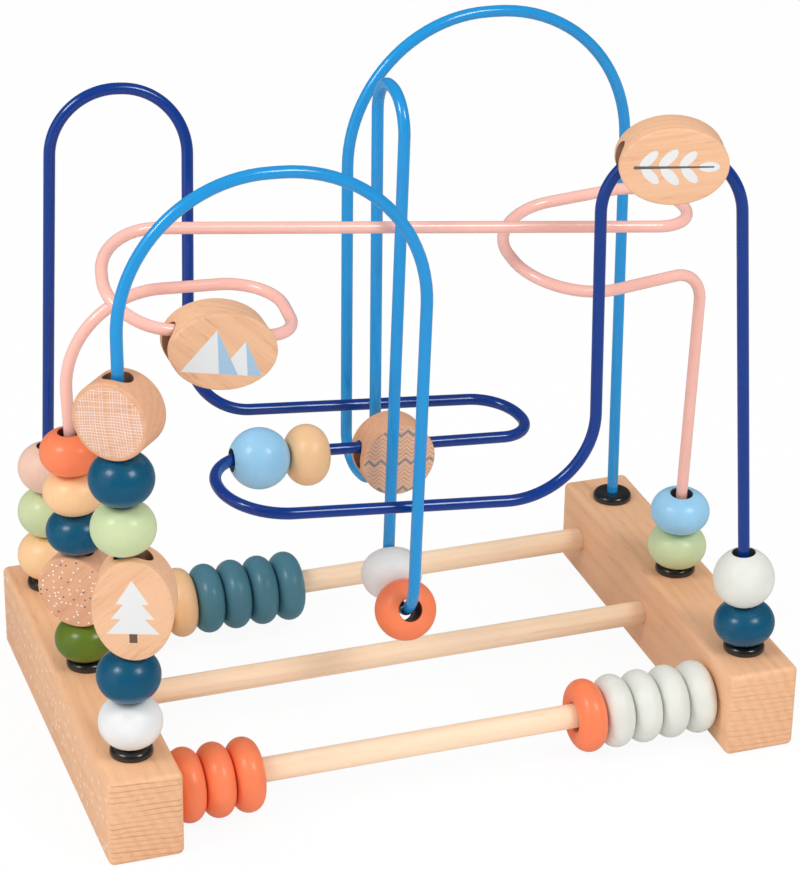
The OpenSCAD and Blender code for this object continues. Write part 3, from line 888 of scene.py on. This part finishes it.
def discMaterial(plan):
    wood = plan["shape"]["wood"]
    material, tree = newMaterial(plan["name"])
    coords = ownPlace(tree)
    grown = coords.placed(plan["seed"], (0.0, plan["turn"], math.pi / 2))
    colour, fibre = woodColour(tree, grown, wood)
    colour = plan["print"](coords, colour)
    colour = slotShade(coords, plan["shape"], colour)
    finishWood(tree, colour, fibre, wood)
    return material


# a disc that looks ahead, with its slot from top to bottom
def sawnDisc(shape):
    bm = bmesh.new()
    bmesh.ops.create_circle(bm, cap_ends=True, segments=disc["sides"], radius=disc["width"] / 2)
    bmesh.ops.scale(bm, vec=(1, shape["long"] / disc["width"], 1), verts=bm.verts)
    quarterTurn(bm, "X")
    grown = bmesh.ops.extrude_face_region(bm, geom=bm.faces[:])["geom"]
    bmesh.ops.translate(bm, vec=(0, disc["thick"], 0), verts=only(bmesh.types.BMVert, grown))
    move(bm, (0, -disc["thick"] / 2, 0))
    bmesh.ops.recalc_face_normals(bm, faces=bm.faces)
    easeEdges(bm, squareTo(bm, 1), disc["edge"], disc["edgeSteps"])
    slot = roundBar(disc["slotWidth"] / 2, disc["slotRun"], disc["slotSides"])
    half = (shape["slotLong"] - disc["slotWidth"]) / 2
    for vert in slot.verts:
        vert.co.x += half if vert.co.x > merge else -half
    return carve(bm, [slot])


archLook = Vector(joints["arch_oval_disc"]["axis"])
discs = {
    "front_left_oval_disc": {
        "shape": ovalDisc, "look": ahead(-21), "along": boreOf("front_left_oval_disc"),
        "name": "ovalBeech.front", "seed": (0.1, 0.2, 0.0), "turn": 0.7, "print": firPrint},
    "loop_oval_disc": {
        "shape": ovalDisc, "look": ahead(0), "along": boreOf("loop_oval_disc"),
        "name": "ovalBeech.loop", "seed": (0.4, 0.1, 0.3), "turn": 1.0, "print": peakPrint},
    "arch_oval_disc": {
        "shape": ovalDisc, "look": archLook, "along": up.cross(archLook),
        "name": "ovalBeech.arch", "seed": (0.7, 0.3, 0.1), "turn": 1.7, "print": sprigPrint},
    "crosshatch_disc": {
        "shape": roundDisc, "look": ahead(-42), "along": boreOf("crosshatch_disc"),
        "name": "crosshatchBeech", "seed": (0.2, 0.5, 0.2), "turn": 0.5, "print": crosshatchPrint},
    "dotted_disc": {
        "shape": roundDisc, "look": ahead(-40), "along": boreOf("dotted_disc"),
        "name": "dottedBeech", "seed": (0.5, 0.6, 0.4), "turn": 0.8, "print": dottedPrint},
    "zigzag_disc": {
        "shape": roundDisc, "look": ahead(0), "along": boreOf("zigzag_disc"),
        "name": "zigzagBeech", "seed": (0.9, 0.2, 0.5), "turn": 1.6, "print": zigzagPrint},
}
for node, plan in discs.items():
    place = facing(middleOf(node), plan["along"], plan["look"])
    putPiece(sawnDisc(plan["shape"]), node + ".sawn", node, node, discMaterial(plan),
             place, smooth=disc["smooth"])
print("discs done")

# floor, light and camera
floorSet = {
    "size": 8.0, "drop": 0.2 * mm, "colour": (250, 250, 250), "cameraShare": 0.93, "glossy": 0.32,
}
worldSet = {"strength": 0.65, "glossy": 0.11}
lamps = {
    "leftSoftbox": {"azimuth": -75, "height": 45, "away": 2.0, "size": 0.6, "power": 12},
    "rightSoftbox": {"azimuth": 32, "height": 45, "away": 2.0, "size": 0.6, "power": 12},
    "leftPanel": {"azimuth": -80, "height": 16, "away": 2.4, "size": 2.2, "power": 7},
}
lampAim = Vector((0, 0, 0.12))
shot = {
    "place": (-0.36787, -1.05216, 0.67199), "right": (0.94394, -0.32980, 0.01429),
    "ahead": (0.30185, 0.84481, -0.44179), "lens": 127.36, "sensor": 36,
    "shift": (-0.01314, -0.00634), "clip": (0.05, 30),
}


def whiteLight(tree, kind, strength):
    return tree.add(kind, None, {"Color": (1, 1, 1, 1), "Strength": strength})


def mixShader(tree, share, a, b):
    return tree.add("ShaderNodeMixShader", None, {0: share, 1: a, 2: b})


def rayIs(tree, kind):
    return tree.add("ShaderNodeLightPath", None, None, "Is " + kind + " Ray")


def makeFloor():
    material, tree = newMaterial("paleFloor")
    matt = tree.add("ShaderNodeBsdfDiffuse", None, {"Color": linear(floorSet["colour"])})
    lit = whiteLight(tree, "ShaderNodeEmission", 1.0)
    dim = whiteLight(tree, "ShaderNodeEmission", floorSet["glossy"])
    plain = mixShader(tree, rayIs(tree, "Camera") * floorSet["cameraShare"], matt, lit)
    finishMaterial(tree, mixShader(tree, rayIs(tree, "Glossy"), plain, dim))
    bm = bmesh.new()
    bmesh.ops.create_grid(bm, x_segments=1, y_segments=1, size=floorSet["size"] / 2)
    mesh = bpy.data.meshes.new("floor")
    bm.to_mesh(mesh)
    bm.free()
    mesh.materials.append(material)
    floor = bpy.data.objects.new("floor", mesh)
    floor.location.z = -floorSet["drop"]
    bpy.context.scene.collection.objects.link(floor)


# a world that is white to the camera and dim to reflections
def makeWorld():
    world = bpy.data.worlds.new("studio")
    bpy.context.scene.world = world
    world.use_nodes = True
    world.node_tree.nodes.clear()
    tree = Flow(world.node_tree)
    bright = whiteLight(tree, "ShaderNodeBackground", worldSet["strength"])
    dim = whiteLight(tree, "ShaderNodeBackground", worldSet["glossy"])
    white = whiteLight(tree, "ShaderNodeBackground", 1.0)
    light = mixShader(tree, rayIs(tree, "Glossy"), bright, dim)
    light = mixShader(tree, rayIs(tree, "Camera"), light, white)
    tree.add("ShaderNodeOutputWorld", None, {"Surface": light})


def makeLamp(name, lamp):
    data = bpy.data.lights.new(name, "AREA")
    data.shape = "SQUARE"
    data.size = lamp["size"]
    data.energy = lamp["power"]
    light = bpy.data.objects.new(name, data)
    height = math.radians(lamp["height"])
    toward = ahead(lamp["azimuth"]) * math.cos(height) + up * math.sin(height)
    light.location = lampAim + toward * lamp["away"]
    light.rotation_euler = (-toward).to_track_quat("-Z", "Y").to_euler()
    bpy.context.scene.collection.objects.link(light)


def makeCamera():
    data = bpy.data.cameras.new("shot")
    data.lens = shot["lens"]
    data.sensor_width = shot["sensor"]
    data.shift_x, data.shift_y = shot["shift"]
    data.clip_start, data.clip_end = shot["clip"]
    camera = bpy.data.objects.new("shot", data)
    back = -Vector(shot["ahead"]).normalized()
    right = Vector(shot["right"]).normalized()
    turned = Matrix((right, back.cross(right), back)).transposed()
    camera.matrix_world = Matrix.Translation(shot["place"]) @ turned.to_4x4()
    bpy.context.scene.collection.objects.link(camera)
    bpy.context.scene.camera = camera


makeFloor()
makeWorld()
for name, lamp in lamps.items():
    makeLamp(name, lamp)
makeCamera()
bpy.context.scene.view_settings.view_transform = "Standard"
print("stage done")
